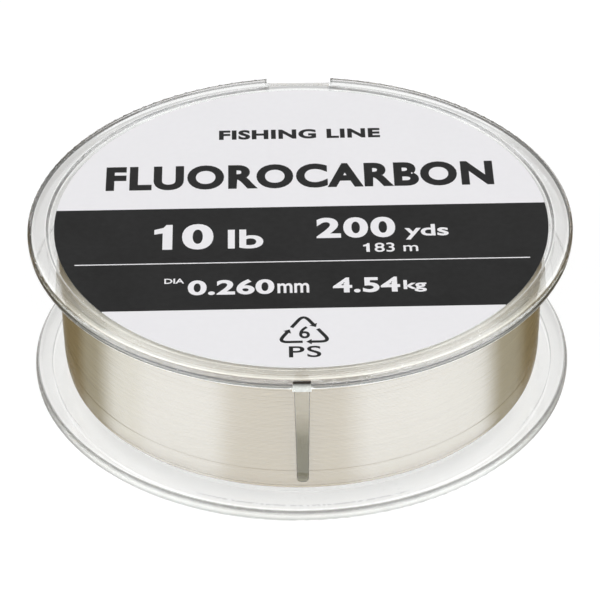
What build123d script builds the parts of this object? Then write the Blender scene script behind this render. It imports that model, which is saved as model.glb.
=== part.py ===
"""Clear polystyrene filler spool with fluorocarbon fishing line wound on it.

Two flanges with rounded rims close the ends of a wide drum. Each has a shallow recess for a round
sticker on its outside, and a ring inside that locates the drum. A hub core with six vanes runs
through the drum: its tube opens at the rear face and stops in a socket under the front flange.
The line fills the groove between the flanges. A thin springy tongue hangs from the front rim,
slants in to the line and holds its free end.

Millimetres, +Z up. The spool stands on its rear rim, so the origin is on the spool's axis at the
level of that rim. The front label faces +Z, the line keeper is at -Y and the line notch at +Y.
"""

from build123d import *
import math
import os

# --- Driving dimensions -------------------------------------------------------------------------
flange_radius = 45.0
spool_height = 27.8
mid_height = spool_height / 2

rim_thickness = 1.8
rim_face_round = 0.5  # on the rim's outer face
rim_groove_round = 0.9  # on its groove side
front_recess_radius = 41.95
front_recess_depth = 0.4
rear_recess_radius = 42.2
rear_recess_depth = 0.2
web_top = 1.6  # flange plate's inner face inside the drum, from the rim's outer face
groove_wall_height = 2.2  # height of the groove's side wall at the drum, from the rim's outer face

drum_radius = 37.7
drum_wall = 1.5
locating_ring_wall = 1.2
locating_ring_height = 2.4  # above the ledge that the drum's end rests on
fit_clearance = 0.05

spindle_bore_radius = 6.0
spindle_tube_wall = 1.6
spindle_tube_top = 25.6
socket_wall = 1.2
socket_depth = 3.4
vane_count = 6
vane_thickness = 1.2
vane_height = 9.0

line_radius = 40.0
line_crown = 0.15
line_shoulder_drop = 0.35  # how much lower the last turns lie beside the flanges
line_shoulder_height = 4.05
line_edge_height = 0.55  # how far the last turns' visible edge stands off the flange
line_edge_tuck = 0.55  # how far the turns under that edge fall back
line_end_clearance = 0.02
tape_thickness = 0.15
tape_height = 8.0
tape_sweep_deg = 22.0
tape_bearing_deg = 60.0

label_radius = 40.8
label_thickness = 0.15
front_label_shift = 0.18
rear_label_radius = 37.5
rear_label_hole_radius = 8.0

line_notch_width = 11.2
line_notch_floor = 42.75
line_notch_round = 0.5  # inside its corners and at its mouth
gate_width = 2.9
gate_slot_floor = 0.55  # below the front face
gate_slot_depth = 0.3
keeper_block_back = 43.0
keeper_block_front = 44.95

keeper_axis_y = -44.0
keeper_axis_z = 25.85
keeper_knuckle_radius = 0.5
keeper_running_clearance = 0.05
keeper_root_width = 2.5
keeper_tip_width = 1.9
keeper_root_thickness = 0.7
keeper_tip_thickness = 0.5
keeper_tip_y = -40.6
keeper_tip_z = 4.8

# --- Worked out from them -----------------------------------------------------------------------
drum_bore_radius = drum_radius - drum_wall
ring_outer_radius = drum_bore_radius - fit_clearance
ring_inner_radius = ring_outer_radius - locating_ring_wall
ring_top = groove_wall_height + locating_ring_height
spindle_tube_radius = spindle_bore_radius + spindle_tube_wall
socket_radius = spindle_tube_radius + fit_clearance
line_inner_radius = drum_radius + tape_thickness
groove_wall_slope = (rim_thickness - groove_wall_height) / (flange_radius - drum_radius)
flip = Plane.XY.offset(mid_height)


def spun(*corners):
    """A full turn about Z of the closed outline with these (radius, height) corners."""
    outline = Polyline([(radius, 0, height) for radius, height in corners], close=True)
    return revolve(make_face(outline), Axis.Z)


def ring(inner, outer, low, high):
    """A plain ring or disc between two radii and two heights."""
    solid = Cylinder(outer, high - low, align=(Align.CENTER, Align.CENTER, Align.MIN))
    if inner > 0:
        solid -= Cylinder(inner, high - low, align=(Align.CENTER, Align.CENTER, Align.MIN))
    return Pos(0, 0, low) * solid


def block(x_low, x_high, y_low, y_high, z_low, z_high):
    """A box given by its lowest and highest corners."""
    corner = (Align.MIN, Align.MIN, Align.MIN)
    return Pos(x_low, y_low, z_low) * Box(x_high - x_low, y_high - y_low, z_high - z_low, align=corner)


def wall_height(radius):
    """How far the groove's drafted side wall stands above the rim's outer face at a radius."""
    return groove_wall_height + groove_wall_slope * (radius - drum_radius)


def circles_of_radius(part, radius):
    """The circular edges of that radius."""
    found = part.edges().filter_by(GeomType.CIRCLE)
    return [edge for edge in found if abs(edge.radius - radius) < 1e-4]


def flange(recess_radius, recess_depth, *inner_corners):
    """One flange lying on its outer face, with its rim rounded and its recess's wall at 45 degrees.

    The inner corners close the outline, from the locating ring's foot to the plate's middle.
    """
    solid = spun(
        (recess_radius - recess_depth, recess_depth),
        (recess_radius, 0),
        (flange_radius, 0),
        (flange_radius, rim_thickness),
        (drum_radius, groove_wall_height),
        (ring_outer_radius, groove_wall_height),
        (ring_outer_radius, ring_top),
        (ring_inner_radius, ring_top),
        (ring_inner_radius, web_top),
        *inner_corners,
    )
    rim_edges = ShapeList(circles_of_radius(solid, flange_radius)).sort_by(Axis.Z)
    solid = fillet(rim_edges[-1], rim_groove_round)
    rim_edges = ShapeList(circles_of_radius(solid, flange_radius)).sort_by(Axis.Z)
    return fillet(rim_edges[0], rim_face_round)


def rear_flange():
    """The flange the spool stands on, with a hole for the hub core's tube."""
    return flange(
        rear_recess_radius,
        rear_recess_depth,
        (socket_radius, web_top),
        (socket_radius, rear_recess_depth),
    )


def drum_tube():
    """The wide tube between the flanges that the line is wound on."""
    return ring(
        drum_bore_radius, drum_radius, groove_wall_height, spool_height - groove_wall_height
    )


def hub_core():
    """The spindle tube with the vanes that centre it inside the drum."""
    core = ring(spindle_bore_radius, spindle_tube_radius, rear_recess_depth, spindle_tube_top)
    root = spindle_tube_radius - spindle_tube_wall / 2
    for index in range(vane_count):
        vane = block(
            root,
            ring_inner_radius - fit_clearance,
            -vane_thickness / 2,
            vane_thickness / 2,
            web_top,
            web_top + vane_height,
        )
        core += Rot(0, 0, 30 + 360 * index / vane_count) * vane
    return core


def line_notch():
    """The wide slot through the front rim that the line leaves by."""
    slot = block(
        -line_notch_width / 2,
        line_notch_width / 2,
        line_notch_floor,
        flange_radius + 1,
        spool_height - rim_thickness - 1,
        spool_height + 1,
    )
    corners = slot.edges().filter_by(Axis.Z).group_by(Axis.Y)[0]
    return fillet(corners, line_notch_round) + notch_mouth() + mirror(notch_mouth(), about=Plane.YZ)


def notch_mouth():
    """What rounds the rim's corner at the right of the line notch's mouth, once it is cut away."""
    side = line_notch_width / 2
    centre_x = side + line_notch_round
    centre_y = math.sqrt(flange_radius**2 - centre_x**2) - line_notch_round
    low, high = spool_height - rim_thickness - 1, spool_height + 1
    corner = block(side, centre_x, centre_y, flange_radius + 1, low, high)
    return corner - Pos(centre_x, centre_y, (low + high) / 2) * Cylinder(line_notch_round, high - low)


def gate_slot():
    """The small step in the front face's edge, above the keeper, where the mould was filled."""
    half_width = gate_width / 2
    back = flange_radius - gate_slot_depth
    low = spool_height - gate_slot_floor
    return block(-half_width, half_width, -flange_radius - 1, -back, low, spool_height + 1)


def keeper_block():
    """The block under the front rim that the keeper hangs from."""
    half_width = gate_width / 2
    top = spool_height - rim_face_round
    return block(
        -half_width, half_width, -keeper_block_front, -keeper_block_back, keeper_axis_z, top
    )


def keeper_seat():
    """The half-round groove in the block's underside that the keeper's knuckle turns in."""
    seat = Cylinder(keeper_knuckle_radius + keeper_running_clearance, gate_width + 1)
    return Pos(0, keeper_axis_y, keeper_axis_z) * Rot(0, 90, 0) * seat


def front_flange():
    """The flange with the label, the line notch and the keeper's block, blind over the hub core."""
    socket_outer = socket_radius + socket_wall
    plate = flange(
        front_recess_radius,
        front_recess_depth,
        (socket_outer, web_top),
        (socket_outer, web_top + socket_depth),
        (socket_radius, web_top + socket_depth),
        (socket_radius, web_top),
        (0, web_top),
        (0, front_recess_depth),
    )
    plate = mirror(plate, about=flip)
    return plate - line_notch() - gate_slot() + keeper_block() - keeper_seat()


def line_pack():
    """All the wound turns as one closed ring, slightly crowned, with a low shoulder at each end."""
    end_radius = line_radius - line_shoulder_drop
    foot_radius = end_radius - line_edge_tuck
    foot_inner = wall_height(line_inner_radius) + line_end_clearance
    foot_outer = wall_height(foot_radius) + line_end_clearance
    edge = foot_outer + line_edge_height
    shoulder = foot_outer + line_shoulder_height
    knee_radius = line_radius - 0.35 * line_shoulder_drop
    knee = edge + 0.35 * (shoulder - edge)

    low = [(line_inner_radius, foot_inner), (foot_radius, foot_outer), (end_radius, edge)]
    low += [(knee_radius, knee), (line_radius, shoulder)]
    corners = [(radius, 0, height) for radius, height in low]
    mirrored = [(radius, 0, spool_height - height) for radius, height in low]
    crown = (line_radius + line_crown, 0, mid_height)
    outline = [
        Line(corners[0], corners[1]),
        Line(corners[1], corners[2]),
        ThreePointArc(corners[2], corners[3], corners[4]),
        ThreePointArc(corners[4], crown, mirrored[4]),
        ThreePointArc(mirrored[4], mirrored[3], mirrored[2]),
        Line(mirrored[2], mirrored[1]),
        Line(mirrored[1], mirrored[0]),
        Line(mirrored[0], corners[0]),
    ]
    return revolve(make_face(outline), Axis.Z)


def anchor_tape():
    """The patch of tape that fixes the line's first turn to the drum."""
    low = mid_height - tape_height
    patch = revolve(
        make_face(
            Polyline(
                (drum_radius, 0, low),
                (line_inner_radius, 0, low),
                (line_inner_radius, 0, low + tape_height),
                (drum_radius, 0, low + tape_height),
                close=True,
            )
        ),
        Axis.Z,
        tape_sweep_deg,
    )
    return Rot(0, 0, tape_bearing_deg) * patch


def line_keeper():
    """The tapered tongue with its knuckle: wide at the flange, rounded at the free tip."""
    knuckle = Cylinder(keeper_knuckle_radius, keeper_root_width)
    knuckle = Pos(0, keeper_axis_y, keeper_axis_z) * Rot(0, 90, 0) * knuckle
    tip_radius = keeper_tip_width / 2
    tip_centre = keeper_tip_z + tip_radius
    half_root = keeper_root_width / 2
    face_outline = [
        Line((half_root, 0, keeper_axis_z), (tip_radius, 0, tip_centre)),
        ThreePointArc(
            (tip_radius, 0, tip_centre), (0, 0, keeper_tip_z), (-tip_radius, 0, tip_centre)
        ),
        Line((-tip_radius, 0, tip_centre), (-half_root, 0, keeper_axis_z)),
        Line((-half_root, 0, keeper_axis_z), (half_root, 0, keeper_axis_z)),
    ]
    front_view = Pos(0, -flange_radius, 0) * extrude(
        make_face(face_outline), amount=flange_radius, dir=(0, 1, 0)
    )
    root, tip = keeper_root_thickness / 2, keeper_tip_thickness / 2
    side_outline = Polyline(
        (0, keeper_axis_y - root, keeper_axis_z),
        (0, keeper_axis_y + root, keeper_axis_z),
        (0, keeper_tip_y + tip, keeper_tip_z),
        (0, keeper_tip_y - tip, keeper_tip_z),
        close=True,
    )
    side_view = extrude(make_face(side_outline), amount=keeper_root_width, dir=(1, 0, 0), both=True)
    return (front_view & side_view) + knuckle


def front_label():
    """The round sticker in the front recess, stuck on very slightly off centre."""
    floor = spool_height - front_recess_depth
    disc = ring(0, label_radius, floor, floor + label_thickness)
    return Pos(front_label_shift, 0, 0) * disc


def rear_label():
    """The ring-shaped sticker in the rear recess, punched out round the spindle bore."""
    low = rear_recess_depth - label_thickness
    return ring(rear_label_hole_radius, rear_label_radius, low, rear_recess_depth)


makers = {
    "rear_flange": rear_flange,
    "front_flange": front_flange,
    "drum_tube": drum_tube,
    "hub_core": hub_core,
    "line_winding": line_pack,
    "anchor_tape": anchor_tape,
    "line_keeper": line_keeper,
    "front_label": front_label,
    "rear_label": rear_label,
}

os.makedirs("parts", exist_ok=True)
for node, make in makers.items():
    export_step(make(), f"parts/{node}.step")
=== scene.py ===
import math

import bmesh
import bpy
from mathutils import Matrix, Vector


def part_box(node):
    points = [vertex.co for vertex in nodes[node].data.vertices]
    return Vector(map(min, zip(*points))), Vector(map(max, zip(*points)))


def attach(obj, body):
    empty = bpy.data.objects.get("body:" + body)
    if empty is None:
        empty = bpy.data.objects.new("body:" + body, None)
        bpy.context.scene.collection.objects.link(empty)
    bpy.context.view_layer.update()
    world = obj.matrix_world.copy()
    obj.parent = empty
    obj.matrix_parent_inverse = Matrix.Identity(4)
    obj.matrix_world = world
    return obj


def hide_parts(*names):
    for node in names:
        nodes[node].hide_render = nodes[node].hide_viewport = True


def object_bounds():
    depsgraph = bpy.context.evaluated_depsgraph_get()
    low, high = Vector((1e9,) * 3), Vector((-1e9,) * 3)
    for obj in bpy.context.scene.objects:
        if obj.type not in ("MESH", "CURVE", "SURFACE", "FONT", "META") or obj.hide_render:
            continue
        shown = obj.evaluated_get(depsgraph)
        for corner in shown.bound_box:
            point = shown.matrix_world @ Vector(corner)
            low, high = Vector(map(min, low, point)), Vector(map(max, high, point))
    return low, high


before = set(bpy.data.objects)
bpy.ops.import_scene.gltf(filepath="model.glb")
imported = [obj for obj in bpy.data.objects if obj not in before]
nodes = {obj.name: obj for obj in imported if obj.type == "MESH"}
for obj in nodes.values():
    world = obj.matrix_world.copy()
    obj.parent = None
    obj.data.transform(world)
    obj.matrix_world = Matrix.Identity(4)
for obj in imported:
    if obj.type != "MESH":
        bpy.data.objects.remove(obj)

MM = 0.001
cad_low, cad_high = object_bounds()

label_low, label_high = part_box("front_label")
pack_low, pack_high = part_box("line_winding")
spool_height = cad_high.z
flange_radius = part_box("rear_flange")[1].x
label_radius = (label_high.x - label_low.x) / 2
label_shift = (label_high.x + label_low.x) / 2

# --- Shader helpers ------------------------------------------------------------------------------


class Nodes:
    """Short calls that add and join the nodes of one shader tree."""

    def __init__(self, tree):
        self.tree = tree
        tree.nodes.clear()

    def link(self, source, target):
        self.tree.links.new(source, target)

    def supply(self, target, value):
        """Links a socket to another one, or gives it a plain value."""
        if isinstance(value, bpy.types.NodeSocket):
            self.link(value, target)
        else:
            target.default_value = value

    def node(self, kind, **inputs):
        made = self.tree.nodes.new("ShaderNode" + kind)
        for socket, value in inputs.items():
            self.supply(made.inputs[socket.replace("_", " ")], value)
        return made

    def math(self, operation, *values, clamp=False):
        made = self.tree.nodes.new("ShaderNodeMath")
        made.operation = operation
        made.use_clamp = clamp
        for target, value in zip(made.inputs, values):
            self.supply(target, value)
        return made.outputs[0]

    def product(self, first, *others):
        for other in others:
            first = self.math("MULTIPLY", first, other)
        return first

    def climb(self, value, start, end, low=0.0):
        """Goes from low to 1 while the value goes from start to end."""
        made = self.node("MapRange", Value=value, From_Min=start, From_Max=end, To_Min=low)
        return made.outputs[0]

    def place(self):
        """The point being shaded, in metres in the row frame of the piece at rest."""
        return self.node("TexCoord").outputs["Object"]

    def axes(self, vector):
        return self.node("SeparateXYZ", Vector=vector).outputs

    def radius(self, vector):
        """Distance from the spool's axis."""
        x, y = self.axes(vector)[:2]
        squares = self.math("ADD", self.math("POWER", x, 2), self.math("POWER", y, 2))
        return self.math("SQRT", squares)

    def scaled(self, vector, x, y, z):
        made = self.node("Mapping", Vector=vector)
        made.inputs["Scale"].default_value = (x, y, z)
        return made.outputs[0]

    def noise(self, vector, scale, detail=2.0, roughness=0.5):
        made = self.node("TexNoise", Vector=vector, Scale=scale, Detail=detail, Roughness=roughness)
        return made.outputs["Fac"]

    def ramp(self, value, *stops):
        """A colour ramp through (position, colour) stops; a colour may be one number."""
        made = self.node("ValToRGB", Fac=value)
        ramp = made.color_ramp
        while len(ramp.elements) < len(stops):
            ramp.elements.new(1.0)
        for element, (position, colour) in zip(ramp.elements, stops):
            element.position = position
            grey = isinstance(colour, (int, float))
            element.color = (colour, colour, colour, 1) if grey else (*colour, 1)
        return made.outputs["Color"]

    def blend(self, factor, first, second):
        made = self.tree.nodes.new("ShaderNodeMix")
        made.data_type = "RGBA"
        for socket, value in (("Factor", factor), ("A", first), ("B", second)):
            target = next(s for s in made.inputs if s.name == socket and s.enabled)
            self.supply(target, (*value, 1) if isinstance(value, tuple) else value)
        return next(s for s in made.outputs if s.enabled)

    def tinted(self, colour, tint):
        """Two colours multiplied channel by channel."""
        made = self.tree.nodes.new("ShaderNodeVectorMath")
        made.operation = "MULTIPLY"
        self.link(colour, made.inputs[0])
        self.link(tint, made.inputs[1])
        return made.outputs[0]


class Look(Nodes):
    """A new material with a Principled shader, and the calls that feed it."""

    def __init__(self, name, **sockets):
        self.material = bpy.data.materials.new(name)
        self.material.use_nodes = True
        super().__init__(self.material.node_tree)
        self.output = self.tree.nodes.new("ShaderNodeOutputMaterial")
        self.shader = self.tree.nodes.new("ShaderNodeBsdfPrincipled")
        self.link(self.shader.outputs[0], self.output.inputs["Surface"])
        for socket, value in sockets.items():
            self.shader.inputs[socket.replace("_", " ")].default_value = value

    def feed(self, socket, value):
        self.link(value, self.shader.inputs[socket])

    def bump(self, height, distance):
        made = self.node("Bump", Height=height, Strength=1.0, Distance=distance)
        self.feed("Normal", made.outputs[0])

    def lets_lamps_through(self, share):
        """Light reaches what lies behind this surface, dimmed to that share."""
        path = self.node("LightPath").outputs["Is Shadow Ray"]
        clear = self.node("BsdfTransparent", Color=(share, share, share, 1))
        mix = self.tree.nodes.new("ShaderNodeMixShader")
        self.link(path, mix.inputs[0])
        self.link(self.shader.outputs[0], mix.inputs[1])
        self.link(clear.outputs[0], mix.inputs[2])
        self.link(mix.outputs[0], self.output.inputs["Surface"])


def paint(piece, look):
    """Gives a piece or CAD node that one material."""
    if not piece.material_slots:
        piece.data.materials.append(look.material)
    for slot in piece.material_slots:
        slot.link = "OBJECT"
        slot.material = look.material


def add_object(name, data):
    made = bpy.data.objects.new(name, data)
    bpy.context.scene.collection.objects.link(made)
    return made


def add_piece(mesh, look, replaced=None):
    """Adds a painted piece that rides on the spool, perhaps shown instead of a CAD node."""
    piece = add_object(mesh.name, mesh)
    paint(piece, look)
    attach(piece, "spool")
    if replaced:
        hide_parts(replaced)


def mesh_of(name, shape):
    """Turns a finished bmesh into a mesh."""
    mesh = bpy.data.meshes.new(name)
    shape.to_mesh(mesh)
    shape.free()
    return mesh


def turned_mesh(name, profile, segments, capped=False):
    """A (radius, height) profile carried round the axis: a closed ring, or capped at its ends."""
    points, faces = [], []
    rows = len(profile)
    for segment in range(segments):
        around = 2 * math.pi * segment / segments
        for radius, height in profile:
            points.append((radius * math.cos(around), radius * math.sin(around), height))
    for segment in range(segments):
        here, there = segment * rows, (segment + 1) % segments * rows
        for row in range(rows - 1 if capped else rows):
            after = (row + 1) % rows
            faces.append((here + row, there + row, there + after, here + after))
    if capped:
        faces.append([segment * rows + rows - 1 for segment in range(segments)])
        faces.append([segment * rows for segment in reversed(range(segments))])
    mesh = bpy.data.meshes.new(name)
    mesh.from_pydata(points, [], faces)
    mesh.update()
    return mesh


# --- Materials -----------------------------------------------------------------------------------

RIM_CORE = 0.7 * MM  # how far in from the rim's wall the middle of its rounded section is
RIM_HALF = 0.9 * MM
RIM_FADE = (1.8 * MM, 1.5 * MM)  # the rim's painted glow and painted shade come in between these depths from its wall
FACE_DEPTH = 0.45 * MM  # what lies less deep than this belongs to a flange's outer face
WALL_HALF = 0.12 * MM  # half the width of a recess's sloping side, seen from above
WALL_DEPTH = 0.25 * MM
BOND = 0.03 * MM  # a film's glue wets the plastic, so the film reaches this far into it
FILM_EDGE = 0.03 * MM
CLARITY = 0.82  # the rest of the light passes thin clear walls without being bent
CLEAR = (0.985, 0.985, 0.975)
CLEAR_HAZY = (0.97, 0.97, 0.96)
FLOW_RIPPLE = 0.06 * MM
PAINTED_GLOW_COLOUR = (0.975, 1.0, 0.955, 1)  # the colour of the painted glow on the flanges' rims and outer faces
# The colour of the ragged line of painted shade on a recess wall's front.
PAINTED_WALL_SHADE = (0.04, 0.04, 0.04)


def clear_plastic(name):
    """Polished clear polystyrene: faint flow ripples, handling dust and hairline scuffs."""
    look = Look(name, IOR=1.59, Transmission_Weight=1.0, Alpha=CLARITY)
    here = look.place()
    dust = look.ramp(look.noise(here, 2600, 1.0), (0.70, 0.0), (0.76, 1.0))
    scuff = look.noise(look.scaled(here, 300, 2400, 900), 1.0, 3.0)
    rough = look.ramp(scuff, (0.45, 0.012), (0.75, 0.06))
    look.feed("Roughness", look.blend(dust, rough, (0.3, 0.3, 0.3)))
    flow = look.noise(look.scaled(here, 1, 1, 2.5), 70, 1.5)
    look.bump(flow, FLOW_RIPPLE)
    look.lets_lamps_through(0.88)
    return look


def inner_plastic():
    """The drum's and the core's clear plastic, with a faint cloudy haze."""
    look = clear_plastic("clear_plastic")
    cloud = look.noise(look.place(), 45, 2.0)
    look.feed("Base Color", look.ramp(cloud, (0.3, CLEAR), (0.7, CLEAR_HAZY)))
    return look


def flange_plastic(name, face_height, glow, shade, clarity, plate, lit_from, shaded_recess_wall=None):
    """Clear plastic for one flange: its flat plate is almost unseen; its rim has painted glow and
    painted shade.

    The painted glow and the painted shade run round the rim's section, in degrees from its outer
    wall, negative on the outer face's side. The clarity, and the painted glow and painted shade of
    the plate's outer face, run out along the radius in mm. The rim's painted glow comes in between
    the two lit_from distances in front of the axis. A shaded recess wall is the side of a recess,
    at that
    radius: almost unseen, with a ragged line of painted shade at the very front.
    """
    look = clear_plastic(name)
    here = look.place()
    y, z = look.axes(here)[1:]
    radius = look.radius(here)
    depth = look.math("ABSOLUTE", look.math("SUBTRACT", z, face_height))
    forward = look.math("MULTIPLY", y, -1.0)
    out = look.math("SUBTRACT", radius, flange_radius - RIM_CORE)
    angle = look.math("ARCTAN2", look.math("SUBTRACT", depth, RIM_HALF), out)
    turn = look.math("ADD", look.math("DIVIDE", angle, 2 * math.pi), 0.5)
    reach = look.math("DIVIDE", radius, flange_radius)

    def round_rim(stops):
        return look.ramp(turn, *[(degrees / 360 + 0.5, value) for degrees, value in stops])

    def along(stops):
        return look.ramp(reach, *[(at * MM / flange_radius, value) for at, value in stops])

    on_rim = look.climb(radius, *[flange_radius - fade for fade in RIM_FADE])
    on_face = look.math("LESS_THAN", depth, FACE_DEPTH)
    lit = look.climb(forward, *lit_from)
    plate_glow, plate_painted_shade = plate

    # Painted glow: emission on the rim's section, stronger at the front, and on the plate's outer
    # face.
    uneven = look.ramp(look.noise(here, 220, 2.0), (0.3, 0.9), (0.7, 1.05))
    rim_light = look.product(round_rim(glow), on_rim, uneven, lit)
    plate_light = look.product(along(plate_glow), on_face)
    if not shaded_recess_wall:
        plate_light = look.product(plate_light, lit)
    look.shader.inputs["Emission Color"].default_value = PAINTED_GLOW_COLOUR
    look.feed("Emission Strength", look.math("ADD", rim_light, plate_light))

    # Painted shade: the base colour darkens at angles round the rim's section and over the recess
    # step on the plate's outer face.
    dark = look.blend(on_rim, (1, 1, 1), round_rim(shade))
    dark = look.blend(on_face, dark, along(plate_painted_shade))
    tone = look.tinted(look.blend(look.noise(here, 45, 2.0), CLEAR, CLEAR_HAZY), dark)
    alpha = along(clarity)
    if shaded_recess_wall:
        gap = look.math("ABSOLUTE", look.math("SUBTRACT", radius, shaded_recess_wall))
        wall = look.math("LESS_THAN", gap, WALL_HALF)
        wall = look.product(wall, look.math("LESS_THAN", depth, WALL_DEPTH))
        alpha = look.product(alpha, look.math("SUBTRACT", 1.0, look.product(wall, 0.6)))
        # A ragged dark line of painted shade on the recess wall, only at the very front.
        foremost = look.climb(forward, 38 * MM, 39 * MM)
        ragged = look.ramp(look.noise(here, 1500, 3.0), (0.44, 0.0), (0.50, 1.0))
        tone = look.blend(look.product(wall, foremost, ragged), tone, PAINTED_WALL_SHADE)
    look.feed("Base Color", tone)
    look.feed("Alpha", alpha)
    return look


KEEPER_FADE_LOW, KEEPER_FADE_HIGH = 5.0 * MM, 25.5 * MM
KEEPER_TAPER = 0.3 / 20.1  # how fast its half width grows with height
KEEPER_HALF_AT_FLOOR = 0.86 * MM


def keeper_plastic():
    """The tongue's clear plastic, darker and greyer towards its tip with a little random cloud, and
    painted shade along its side edges.
    """
    look = Look("keeper_plastic", IOR=1.59, Transmission_Weight=1.0)
    here = look.place()
    height = look.axes(here)[2]
    above = look.math("SUBTRACT", height, KEEPER_FADE_LOW)
    along = look.math("DIVIDE", above, KEEPER_FADE_HIGH - KEEPER_FADE_LOW)
    cloud = look.product(look.noise(here, 500, 2.0), 0.12)
    along = look.math("ADD", along, cloud)
    tone = look.ramp(
        along, (0.50, (0.53, 0.54, 0.47)), (0.66, (0.82, 0.83, 0.79)), (0.85, (0.99, 1.0, 0.98))
    )
    # Painted shade: the base colour darkens along the tongue's side edges.
    half = look.math("MULTIPLY_ADD", height, KEEPER_TAPER, KEEPER_HALF_AT_FLOOR)
    side = look.math("SUBTRACT", look.math("ABSOLUTE", look.axes(here)[0]), half)
    edge = look.climb(side, -0.14 * MM, -0.07 * MM)
    look.feed("Base Color", look.blend(edge, tone, (0.32, 0.31, 0.28)))
    look.feed("Roughness", look.ramp(look.noise(here, 900, 2.0), (0.4, 0.03), (0.8, 0.09)))
    look.bump(look.noise(here, 350, 1.0), 0.04 * MM)
    look.lets_lamps_through(0.8)
    return look


def wound_line():
    """Fine fluorocarbon turns: amber in the body, shiny, brushed round the spool."""
    look = Look("wound_line", IOR=3.2)
    here = look.place()
    streak = look.noise(look.scaled(here, 12, 12, 3400), 1.0, 3.0, 0.6)
    cloud = look.noise(look.scaled(here, 60, 60, 160), 1.0, 2.0)
    body = look.ramp(streak, (0.3, (0.205, 0.15, 0.072)), (0.7, (0.225, 0.17, 0.085)))
    deep = look.ramp(streak, (0.3, (0.185, 0.135, 0.064)), (0.7, (0.205, 0.15, 0.074)))
    look.feed("Base Color", look.blend(cloud, deep, body))
    look.feed("Roughness", look.ramp(streak, (0.3, 0.08), (0.75, 0.12)))
    return look


LABEL_TURN = math.radians(0.65)
BAND_LOW, BAND_HIGH = -25.05 * MM, 4.05 * MM
RULE_HEIGHT, RULE_WIDTH = -11.93 * MM, 0.26 * MM
RULE_REACH = 37.0 * MM
WHITE_FILM = (0.806, 0.776, 0.785)
WHITE_FILM_SHADE = (0.796, 0.766, 0.775)
BLACK_INK = (0.015, 0.015, 0.0155)
BLACK_INK_SHADE = (0.019, 0.019, 0.0195)
FILM_CUT_AND_SHADE = (0.5, 0.5, 0.48)
GREY_INK = (0.2, 0.2, 0.21)
RING_RADIUS, RING_WIDTH = 34.0 * MM, 0.8 * MM


def film(look, here):
    """Grain and gloss that printed film has, whatever its colour."""
    grain = look.noise(here, 900, 3.0)
    look.feed("Roughness", look.ramp(look.noise(here, 120, 3.0), (0.3, 0.34), (0.8, 0.48)))
    look.bump(grain, 0.012 * MM)
    return grain


def front_print():
    """White film with a black band across it and a thin white rule through the band."""
    look = Look("front_print", Specular_IOR_Level=0.3)
    here = look.place()
    grain = film(look, here)
    turned = look.node("Mapping", Vector=here)
    turned.inputs["Rotation"].default_value = (0, 0, -LABEL_TURN)
    turned.inputs["Location"].default_value = (-label_shift, 0, 0)
    x, y = look.axes(turned.outputs[0])[:2]
    white = look.ramp(grain, (0.35, WHITE_FILM), (0.7, WHITE_FILM_SHADE))
    black = look.ramp(grain, (0.35, BLACK_INK), (0.7, BLACK_INK_SHADE))

    def near(value, centre, half):
        gap = look.math("ABSOLUTE", look.math("SUBTRACT", value, centre))
        return look.math("LESS_THAN", gap, half)

    band = near(y, (BAND_LOW + BAND_HIGH) / 2, (BAND_HIGH - BAND_LOW) / 2)
    rule = look.product(near(y, RULE_HEIGHT, RULE_WIDTH / 2), near(x, 0.0, RULE_REACH))
    inked = look.math("SUBTRACT", band, rule, clamp=True)
    radius = look.radius(turned.outputs[0])
    # The film's cut edge is grey, with painted shade that makes it darker towards the back.
    rim = look.math("GREATER_THAN", radius, label_radius - 1.5 * FILM_EDGE)
    rim = look.product(rim, look.climb(y, -30 * MM, -5 * MM, low=0.65))
    white = look.blend(rim, white, FILM_CUT_AND_SHADE)
    look.feed("Base Color", look.blend(inked, white, black))
    return look


def ink(name, colour, shade):
    look = Look(name, Specular_IOR_Level=0.3)
    grain = film(look, look.place())
    look.feed("Base Color", look.ramp(grain, (0.35, colour), (0.7, shade)))
    return look


def rear_print():
    """Plain white film with a thin grey printed ring."""
    look = Look("rear_print")
    here = look.place()
    grain = film(look, here)
    gap = look.math("ABSOLUTE", look.math("SUBTRACT", look.radius(here), RING_RADIUS))
    ring = look.math("LESS_THAN", gap, RING_WIDTH / 2)
    white = look.ramp(grain, (0.35, WHITE_FILM), (0.7, WHITE_FILM_SHADE))
    look.feed("Base Color", look.blend(ring, white, GREY_INK))
    return look


def tape_film():
    look = Look("tape_film", IOR=1.48, Transmission_Weight=0.6)
    here = look.place()
    cloud = look.noise(here, 400, 3.0)
    look.feed("Base Color", look.ramp(cloud, (0.3, (0.8, 0.77, 0.66)), (0.7, (0.9, 0.88, 0.8))))
    look.feed("Roughness", look.ramp(cloud, (0.3, 0.2), (0.7, 0.4)))
    return look


def cut_plastic():
    """Clear plastic left white and rough where the mould's gate was cut off."""
    look = Look("cut_plastic")
    here = look.place()
    torn = look.noise(here, 3500, 3.0)
    look.feed("Base Color", look.ramp(torn, (0.35, (0.47, 0.47, 0.44)), (0.65, (0.58, 0.58, 0.55))))
    look.feed("Roughness", look.ramp(torn, (0.3, 0.45), (0.7, 0.8)))
    look.bump(torn, 0.03 * MM)
    return look


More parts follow.
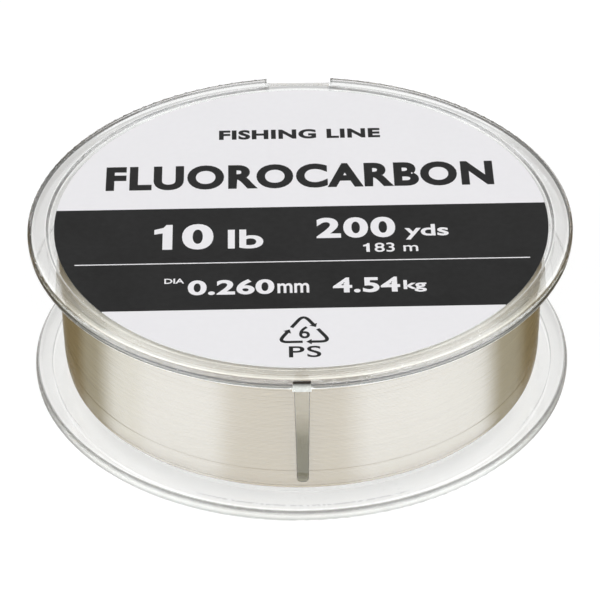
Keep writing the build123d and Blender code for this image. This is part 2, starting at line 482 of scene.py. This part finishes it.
def gate_scar_mesh():
    """A thin uneven patch over the front of the keeper's block, up to the gate slot's floor."""
    half_width, low, high = 1.42 * MM, spool_height - 1.93 * MM, spool_height - 0.57 * MM
    back, front = -flange_radius + 0.2 * MM, -flange_radius + 0.015 * MM
    columns, rows = 12, 5
    patch = bmesh.new()
    grid = []
    for row in range(rows + 1):
        height = low + (high - low) * row / rows
        line = []
        for column in range(columns + 1):
            x = -half_width + 2 * half_width * column / columns
            waves = math.sin(9.1 * row + 5.3 * column) + math.sin(3.7 * column - 2 * row)
            rough = 0.02 * MM * waves
            line.append(patch.verts.new((x, front + abs(rough), height)))
        grid.append(line)
    for lower, upper in zip(grid, grid[1:]):
        for column in range(columns):
            patch.faces.new((lower[column], lower[column + 1], upper[column + 1], upper[column]))
    raised = bmesh.ops.extrude_face_region(patch, geom=patch.faces[:])
    for vertex in [v for v in raised["geom"] if isinstance(v, bmesh.types.BMVert)]:
        vertex.co.y = back
    bmesh.ops.recalc_face_normals(patch, faces=patch.faces[:])
    return mesh_of("gate_scar", patch)


def painted_gate_shade_mesh():
    """A thin dark strip of painted shade on the back wall of the gate slot."""
    half_width, low, high = 1.38 * MM, spool_height - 0.54 * MM, spool_height - 0.08 * MM
    back, front = -flange_radius + 0.32 * MM, -flange_radius + 0.28 * MM
    strip = bmesh.new()
    bmesh.ops.create_cube(strip, size=1.0)
    for vertex in strip.verts:
        vertex.co.x *= 2 * half_width
        vertex.co.y = back if vertex.co.y > 0 else front
        vertex.co.z = high if vertex.co.z > 0 else low
    return mesh_of("painted_gate_shade", strip)


# Near-black painted shade for the strip on the gate slot's back wall.
def painted_shade_plastic():
    look = Look("painted_shade_plastic", Specular_IOR_Level=0.2)
    here = look.place()
    torn = look.noise(here, 3500, 3.0)
    edge = look.ramp(torn, (0.35, (0.010, 0.008, 0.006)), (0.65, (0.03, 0.022, 0.016)))
    look.feed("Base Color", edge)
    look.feed("Roughness", look.ramp(torn, (0.3, 0.5), (0.7, 0.8)))
    look.bump(torn, 0.02 * MM)
    return look


# --- The wound line ------------------------------------------------------------------------------

LINE_DIAMETER = 0.26 * MM
PACK_SEGMENTS = 200
SUNK_TURNS = (2, 14)  # a little deeper than their neighbours, which shows as a thin line
SUNK_BY = 0.09 * MM
TUCK = 0.02 * MM  # keeps the turns' crests inside the CAD pack
TURN_ANGLES = [math.radians(a) for a in (-68, -34, 0, 34, 68)]


def cad_outline(node):
    """The outer (height, radius) outline of a ring-shaped node, read from its mesh."""
    rows = {}
    for vertex in nodes[node].data.vertices:
        radius = math.hypot(vertex.co.x, vertex.co.y)
        height = round(vertex.co.z, 6)
        rows[height] = max(rows.get(height, 0), radius)
    return sorted(rows.items())


def radius_at(outline, height):
    for (low, low_radius), (high, high_radius) in zip(outline, outline[1:]):
        if height <= high:
            share = (height - low) / (high - low)
            return low_radius + share * (high_radius - low_radius)
    return outline[-1][1]


def wound_line_mesh():
    """Every turn of the outer layer as a ridge round the pack, closed on its inside."""
    outline = [row for row in cad_outline("line_winding") if row[1] > pack_high.x * 0.98]
    low, high = outline[0][0], outline[-1][0]
    turns = int((high - low) / LINE_DIAMETER)
    pitch = (high - low) / turns
    inner = min(math.hypot(v.co.x, v.co.y) for v in nodes["line_winding"].data.vertices)
    profile = [(inner, pack_low.z)]
    for turn in range(turns):
        centre = low + (turn + 0.5) * pitch
        lay = 0.008 * MM * math.sin(turn * 2.4) + 0.006 * MM * math.sin(turn * 0.71)
        if turn in SUNK_TURNS:
            lay -= SUNK_BY
        core = radius_at(outline, centre) - pitch / 2 - TUCK + lay
        for angle in TURN_ANGLES:
            out, up = pitch / 2 * math.cos(angle), pitch / 2 * math.sin(angle)
            profile.append((core + out, centre + up))
    profile.append((inner, pack_high.z))
    mesh = turned_mesh("line_turns", profile, PACK_SEGMENTS)
    mesh.polygons.foreach_set("use_smooth", [True] * len(mesh.polygons))
    return mesh


# --- Labels --------------------------------------------------------------------------------------

FILM_SEGMENTS = 256


def disc_mesh(name, inner, outer, low, high):
    """A thin round film, solid or with a hole, whose cut edges are slightly broken."""
    profile = [(outer - FILM_EDGE, low), (outer, low + FILM_EDGE)]
    profile += [(outer, high - FILM_EDGE), (outer - FILM_EDGE, high)]
    if inner > 0:
        profile += [(inner, high), (inner, low)]
    return turned_mesh(name, profile, FILM_SEGMENTS, capped=inner <= 0)


# --- Lettering -----------------------------------------------------------------------------------

INK_THICKNESS = 0.02 * MM


def on_label(piece_mesh):
    """Turns and lifts a flat mesh drawn about the origin into its place on the front label."""
    lift = Matrix.Translation((label_shift, 0, label_high.z))
    piece_mesh.transform(lift @ Matrix.Rotation(LABEL_TURN, 4, "Z"))


def lettering(name, body, centre, size, look, bold=0.02, spacing=1.0):
    """Plain text fitted into a box of that (width, height) in mm about that centre."""
    text = bpy.data.curves.new(name, "FONT")
    text.body = body
    text.offset = bold
    text.space_character = spacing
    text.extrude = 0.5
    text.resolution_u = 6
    holder = add_object(name + "_text", text)
    depsgraph = bpy.context.evaluated_depsgraph_get()
    mesh = bpy.data.meshes.new_from_object(holder.evaluated_get(depsgraph))
    bpy.data.objects.remove(holder)
    low = Vector(min(v.co[i] for v in mesh.vertices) for i in range(3))
    high = Vector(max(v.co[i] for v in mesh.vertices) for i in range(3))
    width, height = high.x - low.x, high.y - low.y
    scale = Matrix.Diagonal((size[0] * MM / width, size[1] * MM / height, INK_THICKNESS, 1))
    middle = Matrix.Translation(-(low + high) / 2)
    place = Matrix.Translation((centre[0] * MM, centre[1] * MM, 0))
    mesh.transform(place @ scale @ middle)
    on_label(mesh)
    tidy = bmesh.new()
    tidy.from_mesh(mesh)
    bmesh.ops.remove_doubles(tidy, verts=tidy.verts, dist=1e-7)
    tidy.to_mesh(mesh)
    tidy.free()
    mesh.materials.clear()
    mesh.name = name
    add_piece(mesh, look)


def flat_shape(name, outline, look):
    """A simple outline of (x, y) points in mm, raised to the thickness of the ink."""
    shape = bmesh.new()
    corners = [shape.verts.new((x * MM, y * MM, -INK_THICKNESS / 2)) for x, y in outline]
    face = shape.faces.new(corners)
    raised = bmesh.ops.extrude_face_region(shape, geom=[face])
    tops = [v for v in raised["geom"] if isinstance(v, bmesh.types.BMVert)]
    bmesh.ops.translate(shape, verts=tops, vec=(0, 0, INK_THICKNESS))
    bmesh.ops.triangulate(shape, faces=shape.faces[:])
    bmesh.ops.recalc_face_normals(shape, faces=shape.faces[:])
    mesh = mesh_of(name, shape)
    on_label(mesh)
    add_piece(mesh, look)


def figure_one(left, low, width, height):
    """The outline of a heavy figure 1 with a flag, in that box in mm."""
    points = [(1.0, 0.0), (1.0, 1.0), (0.66, 1.0), (0.50, 0.88), (0.0, 0.80), (0.0, 0.62)]
    points += [(0.46, 0.66), (0.46, 0.0)]
    return [(left + x * width, low + y * height) for x, y in points]


MARK_CENTRE = (-0.12, -31.7)
MARK_SIZE = (4.15, 4.85)  # half the mark's width, and how far its point stands above its centre
MARK_STROKE = 0.62
MARK_BEND_STEPS = 6


def resin_arrow(index):
    """One bent arrow of the three that chase round the resin mark: its stroke and its head."""

    def corner(number):
        angle = math.radians(90 - 120 * number)
        return Vector((math.cos(angle), math.sin(angle)))

    here, before, after = corner(index), corner(index - 1), corner(index + 1)
    into_bend, out_of_bend = here.lerp(before, 0.2), here.lerp(after, 0.2)
    path = [here.lerp(before, 0.47)]
    for step in range(MARK_BEND_STEPS + 1):
        share = step / MARK_BEND_STEPS
        path.append(into_bend.lerp(here, share).lerp(here.lerp(out_of_bend, share), share))
    path.append(here.lerp(after, 0.36))
    last = len(path) - 1
    half = MARK_STROKE / MARK_SIZE[1] / 2
    left, right = [], []
    for number, point in enumerate(path):
        towards = (path[min(number + 1, last)] - path[max(number - 1, 0)]).normalized()
        across = Vector((-towards.y, towards.x)) * half
        left.append(point + across)
        right.append(point - across)
    towards = (after - here).normalized()
    across = Vector((-towards.y, towards.x))
    tip, wing = towards * half * 2.8, across * half * 2.3
    head = [path[last] + wing, path[last] + tip, path[last] - wing]

    def placed(points):
        wide = MARK_SIZE[0] / math.cos(math.radians(30))
        return [(MARK_CENTRE[0] + p.x * wide, MARK_CENTRE[1] + p.y * MARK_SIZE[1]) for p in points]

    return placed(left + right[::-1]), placed(head)


# --- Build ---------------------------------------------------------------------------------------

clear = inner_plastic()
for node in ("drum_tube", "hub_core"):
    paint(nodes[node], clear)

# The rear recess wall gets a ragged line of painted shade at the front.
rear_recess_wall = 42.1 * MM
no_painted_shade = [(0, 1.0), (45, 1.0)]
# Painted glow on the rear plate and rim, and painted shade round the rim's section.
plate_glow = [(39, 0.11), (41, 0.10), (43.6, 0.06), (44, 0.0)]
rim_shade = [(-40, 1.0), (-30, 0.3), (8, 0.3), (16, 1.0), (50, 1.0), (58, 0.35), (80, 0.3)]
rim_shade += [(86, 1.0)]
rear_glow = [(-60, 0.0), (-28, 0.35), (-5, 0.65), (15, 0.6), (30, 0.4), (44, 0.12), (52, 0.0)]
rear_glow += [(82, 0.0), (88, 0.05), (100, 0.05), (106, 0.0)]
rear_clarity = [(38.5, CLARITY), (40.2, 0.7), (43.9, 0.7), (44.2, CLARITY)]
paint(
    nodes["rear_flange"],
    flange_plastic(
        "rear_plastic",
        0.0,
        rear_glow,
        rim_shade,
        rear_clarity,
        (plate_glow, no_painted_shade),
        (14 * MM, 34 * MM),
        shaded_recess_wall=rear_recess_wall,
    ),
)
# The front flange's painted glow and painted shade, on its rim and its plate's outer face.
front_glow = [(-140, 0.0), (-132, 0.4), (-92, 0.5), (-78, 0.0), (-12, 0.0), (0, 0.12), (36, 0.16)]
front_glow += [(44, 0.9), (76, 1.0), (82, 0.0)]
front_shade = [(-82, 1), (-76, 0.02), (-56, 0.02), (-46, 0.6), (-26, 0.6), (-14, 0.9), (50, 0.9)]
front_shade += [(56, 0.03), (84, 0.03), (90, 1)]
front_clarity = [(38.5, CLARITY), (40.5, 0.6), (41.2, 0.6), (41.5, 0.95), (42.0, 0.95), (42.2, 0.6)]
front_clarity += [(43.9, 0.6), (44.2, 0.97)]
face_glow = [(40.6, 0.0), (40.8, 0.34), (41.5, 0.34), (41.55, 0.0), (41.95, 0.0), (42.0, 0.36)]
face_glow += [(43.2, 0.36), (43.4, 0.0)]
# Painted shade on the front plate's outer face over the recess step.
face_painted_shade = [(41.5, 1.0), (41.55, 0.35), (41.93, 0.35), (41.97, 1.0)]
paint(
    nodes["front_flange"],
    flange_plastic(
        "front_plastic",
        spool_height,
        front_glow,
        front_shade,
        front_clarity,
        (face_glow, face_painted_shade),
        (8 * MM, 30 * MM),
    ),
)
paint(nodes["line_keeper"], keeper_plastic())
paint(nodes["anchor_tape"], tape_film())

add_piece(wound_line_mesh(), wound_line(), replaced="line_winding")
add_piece(gate_scar_mesh(), cut_plastic())
add_piece(painted_gate_shade_mesh(), painted_shade_plastic())

front_film = disc_mesh("front_film", 0, label_radius, label_low.z - BOND, label_high.z)
front_film.transform(Matrix.Translation((label_shift, 0, 0)))
add_piece(front_film, front_print(), replaced="front_label")

rear_low, rear_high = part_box("rear_label")
rear_hole = min(math.hypot(v.co.x, v.co.y) for v in nodes["rear_label"].data.vertices)
rear_film = disc_mesh("rear_film", rear_hole, rear_high.x, rear_low.z, rear_high.z + BOND)
add_piece(rear_film, rear_print(), replaced="rear_label")

black = ink("black_ink", BLACK_INK, BLACK_INK_SHADE)
white = ink("white_ink", WHITE_FILM, WHITE_FILM_SHADE)
lettering("print_kind", "FISHING LINE", (0.2, 26.5), (27.6, 3.0), black, 0.045, 1.1)
lettering("print_material", "FLUOROCARBON", (0.0, 13.4), (65.2, 7.4), black, 0.045, 1.12)
flat_shape("print_strength_tens", figure_one(-24.2, -7.9, 3.0, 7.2), white)
lettering("print_strength", "0", (-17.05, -4.3), (5.15, 7.4), white, 0.038)
lettering("print_strength_unit", "lb", (-9.2, -5.2), (5.8, 5.5), white, 0.02)
lettering("print_length", "200", (8.95, -2.4), (13.0, 6.0), white, 0.035, 1.12)
lettering("print_length_unit", "yds", (20.55, -4.0), (7.2, 4.4), white, 0.02)
flat_shape("print_metres_hundreds", figure_one(10.0, -9.55, 1.05, 2.5), white)
lettering("print_length_metres", "83 m", (15.4, -8.3), (7.1, 2.6), white, 0.008)
lettering("print_diameter_word", "DIA", (-20.75, -16.9), (3.2, 1.4), white, 0.02)
lettering("print_diameter", "0.260", (-11.6, -18.85), (13.9, 4.2), white, 0.03, 1.04)
lettering("print_diameter_unit", "mm", (-1.6, -19.4), (5.1, 2.7), white, 0.018)
lettering("print_load", "4.54", (10.15, -18.85), (10.8, 4.2), white, 0.028, 1.04)
lettering("print_load_unit", "kg", (17.95, -19.4), (3.7, 3.3), white, 0.025)
lettering("print_resin_number", "6", (-0.05, -31.6), (1.7, 3.25), black, 0.015)
lettering("print_resin", "PS", (-0.05, -36.75), (5.05, 3.0), black, 0.012, 1.1)
for index in range(3):
    stroke, head = resin_arrow(index)
    flat_shape(f"print_resin_stroke_{index + 1}", stroke, black)
    flat_shape(f"print_resin_head_{index + 1}", head, black)

# --- Stage ---------------------------------------------------------------------------------------

LIGHT_LEVEL = 2.2
FLOOR_GLOW = 1.0
SEEN_THROUGH = 1.0
SIDE = (1.06, 1.12, 1.17)
SIDE_DIP = (0.96, 1.01, 1.02)
FRONT = (0.76, 0.78, 0.78)
STAND = (0.25, 0.27, 0.25)
BACK = (0.025, 0.02, 0.012)
REAR = (0.42, 0.41, 0.40)
TOP = (0.36, 0.355, 0.355)
FLOOR_SIDE = 8.0


def make_floor():
    mesh = bpy.data.meshes.new("floor")
    half = FLOOR_SIDE / 2
    corners = [(-half, -half, 0), (half, -half, 0), (half, half, 0), (-half, half, 0)]
    mesh.from_pydata(corners, [], [(0, 1, 2, 3)])
    floor = add_object("floor", mesh)
    floor.location.z = -0.1 * MM
    look = Look("floor", Roughness=0.9, Specular_IOR_Level=0.1)
    mottle = look.noise(look.place(), 3, 2.0)
    look.feed("Base Color", look.ramp(mottle, (0.3, 0.19), (0.7, 0.21)))
    look.feed("Emission Color", look.ramp(mottle, (0.3, 0.84), (0.7, 0.86)))
    look.shader.inputs["Emission Strength"].default_value = FLOOR_GLOW
    paint(floor, look)
    floor.visible_glossy = False


def make_world():
    """A soft tent of light: two tall bright sides, a softer front and a dim back.

    Its stops go round by their angle from the front, negative to the viewer's left.
    """
    world = bpy.data.worlds.new("studio")
    bpy.context.scene.world = world
    world.use_nodes = True
    look = Nodes(world.node_tree)
    toward = look.node("TexCoord").outputs["Generated"]
    x, y, z = look.axes(toward)
    turn = look.math("ARCTAN2", x, look.math("MULTIPLY", y, -1.0))
    share = look.math("ADD", look.math("DIVIDE", turn, 2 * math.pi), 0.5)

    def at(degrees):
        return degrees / 360 + 0.5

    far = look.blend(look.climb(z, 0.30, 0.42), REAR, BACK)
    sides = look.ramp(
        share,
        (at(-116), BACK),
        (at(-109), STAND),
        (at(-101), STAND),
        (at(-90), SIDE_DIP),
        (at(-78), SIDE_DIP),
        (at(-72), SIDE),
        (at(-41), SIDE),
        (at(-31), FRONT),
        (at(18), FRONT),
        (at(30), SIDE),
        (at(86), SIDE),
        (at(97), STAND),
        (at(109), STAND),
        (at(118), BACK),
    )
    aside = look.math("ABSOLUTE", turn)
    behind = look.climb(aside, math.radians(146), math.radians(157))
    sides = look.blend(behind, sides, far)
    rise = look.math("ARCSINE", z)
    overhead = look.climb(rise, math.radians(48), math.radians(62))
    mixed = look.blend(overhead, sides, TOP)
    lit = look.node("Background", Color=mixed, Strength=LIGHT_LEVEL)
    through = look.node("Background", Color=(1, 1, 1, 1), Strength=SEEN_THROUGH)
    mix = look.node("MixShader")
    look.link(look.node("LightPath").outputs["Is Transmission Ray"], mix.inputs[0])
    look.link(lit.outputs[0], mix.inputs[1])
    look.link(through.outputs[0], mix.inputs[2])
    out = look.node("OutputWorld")
    look.link(mix.outputs[0], out.inputs["Surface"])


CAMERA_ELEVATION = math.radians(35.34)
CAMERA_DISTANCE = 0.5658
CAMERA_ROLL = math.radians(-0.66)
CAMERA_LENS = 202.06  # mm of focal length over a 36 mm sensor
CAMERA_TARGET = Vector((-0.15 * MM, 0, 11.4 * MM))


def make_camera():
    """The photograph's viewpoint: a long lens in front of the spool, 35 degrees up."""
    camera = add_object("camera", bpy.data.cameras.new("camera"))
    back = Vector((0, -math.cos(CAMERA_ELEVATION), math.sin(CAMERA_ELEVATION)))
    camera.data.sensor_width = 36
    camera.data.lens = CAMERA_LENS
    camera.data.clip_start, camera.data.clip_end = 0.01, 100
    camera.rotation_mode = "QUATERNION"
    roll = Matrix.Rotation(CAMERA_ROLL, 4, "Z").to_quaternion()
    camera.location = CAMERA_TARGET + back * CAMERA_DISTANCE
    camera.rotation_quaternion = (-back).to_track_quat("-Z", "Y") @ roll
    bpy.context.scene.camera = camera


make_floor()
make_world()
make_camera()
bpy.context.scene.view_settings.view_transform = "Standard"
